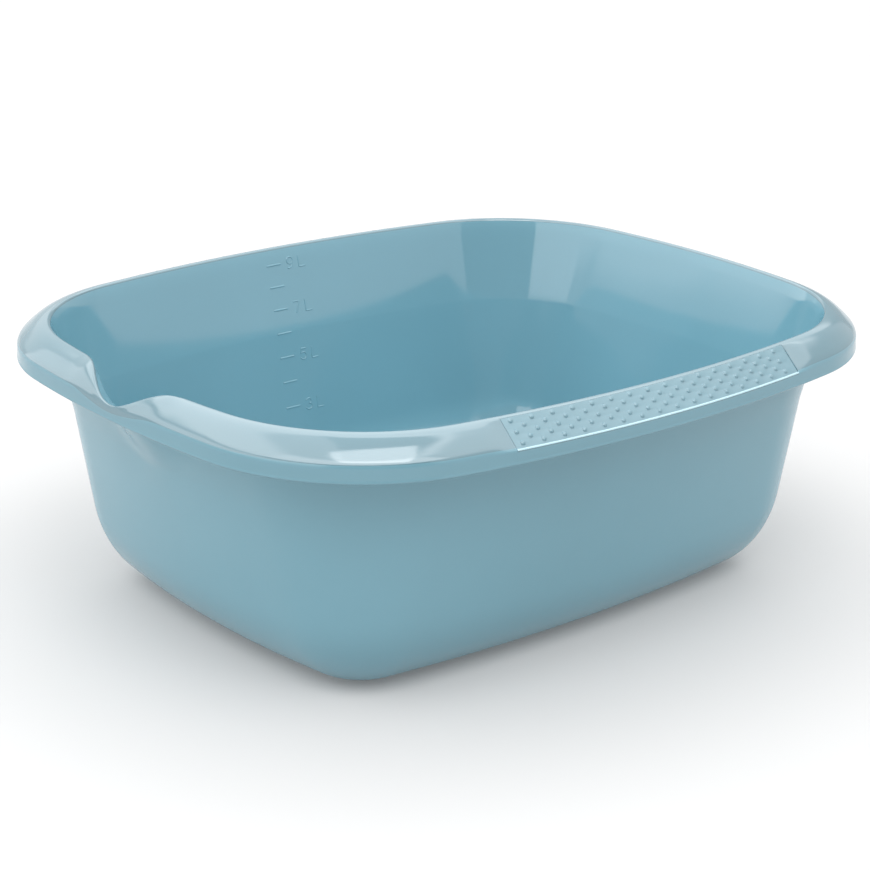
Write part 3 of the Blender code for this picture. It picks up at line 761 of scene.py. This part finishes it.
def plastic(name, colour, ior, rough, spread, grain, grain_depth,
            wave=0.0):
    """Moulded polypropylene: a base colour that drifts very slightly, a
    roughness that varies, a fine grain and faint scuffs."""
    mat = bpy.data.materials.new(name)
    mat.use_nodes = True
    t = mat.node_tree
    bsdf = t.nodes["Principled BSDF"]
    bsdf.inputs["Metallic"].default_value = 0.0
    bsdf.inputs["IOR"].default_value = ior
    co = node(t, "ShaderNodeTexCoord", -1500, 0)
    # colour: cloudy pigment plus fine mottling
    cloud = node(t, "ShaderNodeTexNoise", -1200, 300, Scale=14.0, Detail=3.0,
                 Roughness=0.5)
    t.links.new(co.outputs["Object"], cloud.inputs["Vector"])
    fine = node(t, "ShaderNodeTexNoise", -1200, 60, Scale=420.0, Detail=3.0,
                Roughness=0.6)
    t.links.new(co.outputs["Object"], fine.inputs["Vector"])
    ramp = node(t, "ShaderNodeMapRange", -980, 300)
    ramp.inputs["From Min"].default_value = 0.3
    ramp.inputs["From Max"].default_value = 0.7
    t.links.new(cloud.outputs["Fac"], ramp.inputs["Value"])
    mixc = node(t, "ShaderNodeMix", -740, 300, data_type="RGBA")
    lo = tuple(c * (1 - spread) for c in colour)
    hi = tuple(min(1.0, c * (1 + spread)) for c in colour)
    mixc.inputs["A"].default_value = (*lo, 1.0)
    mixc.inputs["B"].default_value = (*hi, 1.0)
    t.links.new(ramp.outputs["Result"], mixc.inputs["Factor"])
    mott = node(t, "ShaderNodeMix", -520, 240, data_type="RGBA",
                blend_type="MULTIPLY")
    mott.inputs["Factor"].default_value = 1.0
    t.links.new(mixc.outputs["Result"], mott.inputs["A"])
    fr = node(t, "ShaderNodeMapRange", -980, 60)
    fr.inputs["To Min"].default_value = 1.0 - spread * 0.5
    fr.inputs["To Max"].default_value = 1.0 + spread * 0.5
    t.links.new(fine.outputs["Fac"], fr.inputs["Value"])
    t.links.new(fr.outputs["Result"], mott.inputs["B"])
    t.links.new(mott.outputs["Result"], bsdf.inputs["Base Color"])
    # roughness: smudges and light scuffs
    smudge = node(t, "ShaderNodeTexNoise", -1200, -160, Scale=38.0,
                  Detail=5.0, Roughness=0.62)
    t.links.new(co.outputs["Object"], smudge.inputs["Vector"])
    rr = node(t, "ShaderNodeMapRange", -740, -160)
    rr.inputs["From Min"].default_value = 0.25
    rr.inputs["From Max"].default_value = 0.75
    rr.inputs["To Min"].default_value = rough * 0.88
    rr.inputs["To Max"].default_value = rough * 1.14
    t.links.new(smudge.outputs["Fac"], rr.inputs["Value"])
    t.links.new(rr.outputs["Result"], bsdf.inputs["Roughness"])
    # bump: moulding grain and a slow waviness
    g = node(t, "ShaderNodeTexNoise", -1200, -420, Scale=grain, Detail=2.0,
             Roughness=0.5)
    t.links.new(co.outputs["Object"], g.inputs["Vector"])
    b1 = node(t, "ShaderNodeBump", -480, -420)
    b1.inputs["Strength"].default_value = 0.6
    b1.inputs["Distance"].default_value = grain_depth
    t.links.new(g.outputs["Fac"], b1.inputs["Height"])
    w = node(t, "ShaderNodeTexNoise", -1200, -660, Scale=22.0, Detail=1.5,
             Roughness=0.4)
    t.links.new(co.outputs["Object"], w.inputs["Vector"])
    b2 = node(t, "ShaderNodeBump", -260, -420)
    b2.inputs["Strength"].default_value = 0.6
    b2.inputs["Distance"].default_value = wave
    t.links.new(w.outputs["Fac"], b2.inputs["Height"])
    t.links.new(b1.outputs["Normal"], b2.inputs["Normal"])
    t.links.new(b2.outputs["Normal"], bsdf.inputs["Normal"])
    return mat


BLUE = (0.147, 0.312, 0.382)


def shade(k):
    return tuple(c * k for c in BLUE)


satin = plastic("bowl_plastic", BLUE, 1.75, 0.07, 0.02, 900.0, 0.000006,
                0.00012)
outer = plastic("wall_plastic", BLUE, 1.65, 0.22, 0.02, 900.0, 0.000006,
                0.00012)
# rim and skirt: darker copies of the blue, painted shade on the same plastic
rim_polish_painted_shade = plastic("rim_plastic_painted_shade", shade(RIM_PAINTED_SHADE), 2.1, 0.10, 0.02, 900.0,
                   0.000003, 0.00005)
skirt_painted_shade = plastic("skirt_plastic_painted_shade", shade(SKIRT_PAINTED_SHADE), 1.68, 0.18, 0.02, 900.0,
                  0.000006, 0.00012)
# the lip's pale colour, far lighter than the blue, is a painted highlight along the
# pad's lower edge
lip_painted_highlight = plastic("lip_plastic_painted_highlight", (0.40, 0.60, 0.67), 2.0, 0.12, 0.02, 900.0,
                    0.000003, 0.0)
dull = plastic("grip_plastic", shade(PAD_SHADE), 2.0, 0.34, 0.03, 1500.0,
               0.00002, 0.0)

for ob, mats in ((shell, (satin, rim_polish_painted_shade, skirt_painted_shade, lip_painted_highlight, outer)),
                 (scale, (satin,)),
                 (pad_front, (dull,)), (pad_rear, (dull,))):
    for mat in mats:
        ob.data.materials.append(mat)

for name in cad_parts:
    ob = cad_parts[name]
    ob.data.materials.clear()
    ob.data.materials.append(dull if "pad" in name else satin)

for ob, cad, slot in ((shell, "bowl_body", "bowl"),
                      (pad_front, "grip_pad_front", "grip"),
                      (pad_rear, "grip_pad_rear", "grip")):
    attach(ob, "root")
    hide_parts(cad)
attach(scale, "root")


# ============================================================ floor and light
GLOW = 0.12


def make_floor():
    me = bpy.data.meshes.new("floor")
    s = 9.0
    me.from_pydata([(-s, -s, 0), (s, -s, 0), (s, s, 0), (-s, s, 0)], [],
                   [(0, 1, 2, 3)])
    ob = bpy.data.objects.new("floor", me)
    bpy.context.scene.collection.objects.link(ob)
    mat = bpy.data.materials.new("floor_paper")
    mat.use_nodes = True
    t = mat.node_tree
    bsdf = t.nodes["Principled BSDF"]
    bsdf.inputs["Roughness"].default_value = 0.9
    bsdf.inputs["Specular IOR Level"].default_value = 0.1
    co = node(t, "ShaderNodeTexCoord", -900, 0)
    n = node(t, "ShaderNodeTexNoise", -700, 0, Scale=1.2, Detail=2.0)
    t.links.new(co.outputs["Object"], n.inputs["Vector"])
    m = node(t, "ShaderNodeMix", -400, 0, data_type="RGBA")
    m.inputs["A"].default_value = (0.48, 0.48, 0.48, 1.0)
    m.inputs["B"].default_value = (0.50, 0.50, 0.50, 1.0)
    t.links.new(n.outputs["Fac"], m.inputs["Factor"])
    t.links.new(m.outputs["Result"], bsdf.inputs["Base Color"])
    # a light table: a part of the floor's brightness is its own
    bsdf.inputs["Emission Color"].default_value = (1.0, 1.0, 1.0, 1.0)
    bsdf.inputs["Emission Strength"].default_value = GLOW
    me.materials.append(mat)


def softbox(name, at, axes, size, radiance):
    """A rectangular light; axes are its width, its height and the direction
    away from what it lights."""
    data = bpy.data.lights.new(name, "AREA")
    data.shape = "RECTANGLE"
    data.size, data.size_y = size
    data.energy = math.pi * size[0] * size[1] * radiance
    ob = bpy.data.objects.new(name, data)
    ob.rotation_mode = "QUATERNION"
    m = Matrix(axes).transposed()
    ob.rotation_quaternion = m.to_quaternion()
    ob.location = at
    bpy.context.scene.collection.objects.link(ob)
    return ob


# Large soft panels around the object: name, strength, the azimuths between
# which it stands (0 is the front, 90 the right, 180 the back), the softness
# of its two ends, its lowest and highest elevation and their softness, all in
# degrees, and a tilt of its lower edge.
PANELS = (
    ("left_far", 1.05, -172, -133, 2, 1.0, 4.4, 30, 0.6, 10, 0.251),
    ("left_mid", 1.05, -133, -112, 1.0, 1.0, 10.5, 30, 0.6, 10, 0.129),
    ("left_low", 1.05, -112, -97, 1.0, 1.0, 11.8, 30, 0.6, 10, 0.0),
    ("left_near", 1.05, -97, -57, 1.0, 1.2, 10.6, 30, 0.6, 10, 0.0),
    ("left_dim", 0.85, -172, -57, 2, 1.2, -3, 30, 2, 10, 0.0),
    ("back_high", 2.50, 150, -98, 6, 10, 33, 62, 8, 8, 0.0),
    ("back_mid", 1.30, 150, -172, 6, 2, 9, 34, 3, 8, 0.0),
    ("back_low", 0.92, 150, -172, 6, 2, -3, 9, 2, 3, 0.0),
    ("right_high", 1.80, 18, 96, 14, 6, 34, 66, 8, 6, 0.0),
    ("right_low", 0.88, 62, 111, 6, 2, -2, 34, 2, 8, 0.0),
    ("front_right", 1.02, 4, 62, 1.2, 6, 0, 34, 2, 8, 0.0),
    ("back_right", 2.40, 96, 150, 6, 6, 34, 64, 8, 8, 0.0),
    ("back_right_mid", 1.60, 112, 150, 6, 6, 20, 34, 4, 8, 0.0),
    ("back_right_low", 0.60, 111, 150, 2, 6, -1, 20, 2, 4, 0.0),
    ("front_high", 2.80, -98, 18, 10, 10, 35, 62, 6, 8, 0.0),
    ("front_gap", 0.35, -57, 4, 1.2, 1.2, 0, 35, 2, 6, 0.0),
)
CEILING = ("ceiling", 1.78, (-0.787, 0.605, -0.115), 0.02, 62, 8)
ZENITH = ("zenith", 1.25, 62, 8)
AMBIENT = ("ambient", 0.04)


def studio():
    world = bpy.data.worlds.new("studio")
    bpy.context.scene.world = world
    world.use_nodes = True
    t = world.node_tree
    bg = t.nodes["Background"]
    bg.inputs["Color"].default_value = (1, 1, 1, 1)

    def calc(op, *args):
        n = t.nodes.new("ShaderNodeMath")
        n.operation = op
        for i, v in enumerate(args):
            if isinstance(v, (int, float)):
                n.inputs[i].default_value = v
            else:
                t.links.new(v, n.inputs[i])
        return n.outputs[0]

    def rise(v, edge, soft):
        """0 below the edge, 1 above it, over a width of soft."""
        n = t.nodes.new("ShaderNodeMapRange")
        n.interpolation_type = "SMOOTHSTEP"
        n.inputs["From Min"].default_value = edge - soft / 2
        n.inputs["From Max"].default_value = edge + soft / 2
        t.links.new(v, n.inputs["Value"])
        return n.outputs["Result"]

    co = t.nodes.new("ShaderNodeTexCoord")
    sep = t.nodes.new("ShaderNodeSeparateXYZ")
    t.links.new(co.outputs["Generated"], sep.inputs[0])
    x, y, z = sep.outputs
    deg = 180.0 / math.pi
    az = calc("MULTIPLY", calc("ARCTAN2", x, calc("MULTIPLY", y, -1.0)), deg)
    el = calc("MULTIPLY", calc("ARCSINE", z), deg)
    total = None

    def add(name, strength, mask):
        nonlocal total
        v = calc("MULTIPLY", mask, float(strength))
        v.node.name = name
        total = v if total is None else calc("ADD", total, v)

    for name, strength, a0, a1, s0, s1, e0, e1, t0, t1, tilt in PANELS:
        mid = (a0 + ((a1 - a0) % 360) / 2.0 + 180) % 360 - 180
        half = ((a1 - a0) % 360) / 2.0
        d = calc("WRAP", calc("SUBTRACT", az, mid), 180.0, -180.0)
        lo = rise(d, -half, s0)
        hi = calc("SUBTRACT", 1.0, rise(d, half, s1))
        low_edge = calc("SUBTRACT", el, calc("MULTIPLY", d, tilt))
        v = calc("MULTIPLY", rise(low_edge, e0, t0),
                 calc("SUBTRACT", 1.0, rise(el, e1, t1)))
        add(name, strength, calc("MULTIPLY", calc("MULTIPLY", lo, hi), v))
    name, strength, m, soft, e0, t0 = CEILING
    dot = calc("ADD", calc("ADD", calc("MULTIPLY", x, m[0]),
                           calc("MULTIPLY", y, m[1])),
               calc("MULTIPLY", z, m[2]))
    side = rise(dot, 0.0, soft)
    add(name, strength, calc("MULTIPLY", side, rise(el, e0, t0)))
    name, strength, e0, t0 = ZENITH
    add(name, strength, calc("MULTIPLY", calc("SUBTRACT", 1.0, side),
                             rise(el, e0, t0)))
    total = calc("ADD", total, AMBIENT[1])
    total.node.name = AMBIENT[0]
    t.links.new(total, bg.inputs["Strength"])
    return world


make_floor()
studio()
KEY = ((-0.4402, -0.6572, 1.505), ((0.8311, -0.2517, -0.4959),
                                   (0.4840, 0.7666, 0.4220),
                                   (0.2739, -0.5907, 0.7589)), (0.974, 0.82))
softbox("key", *KEY, 2.3)

bpy.context.scene.view_settings.view_transform = "Standard"
bpy.context.scene.view_settings.look = "None"
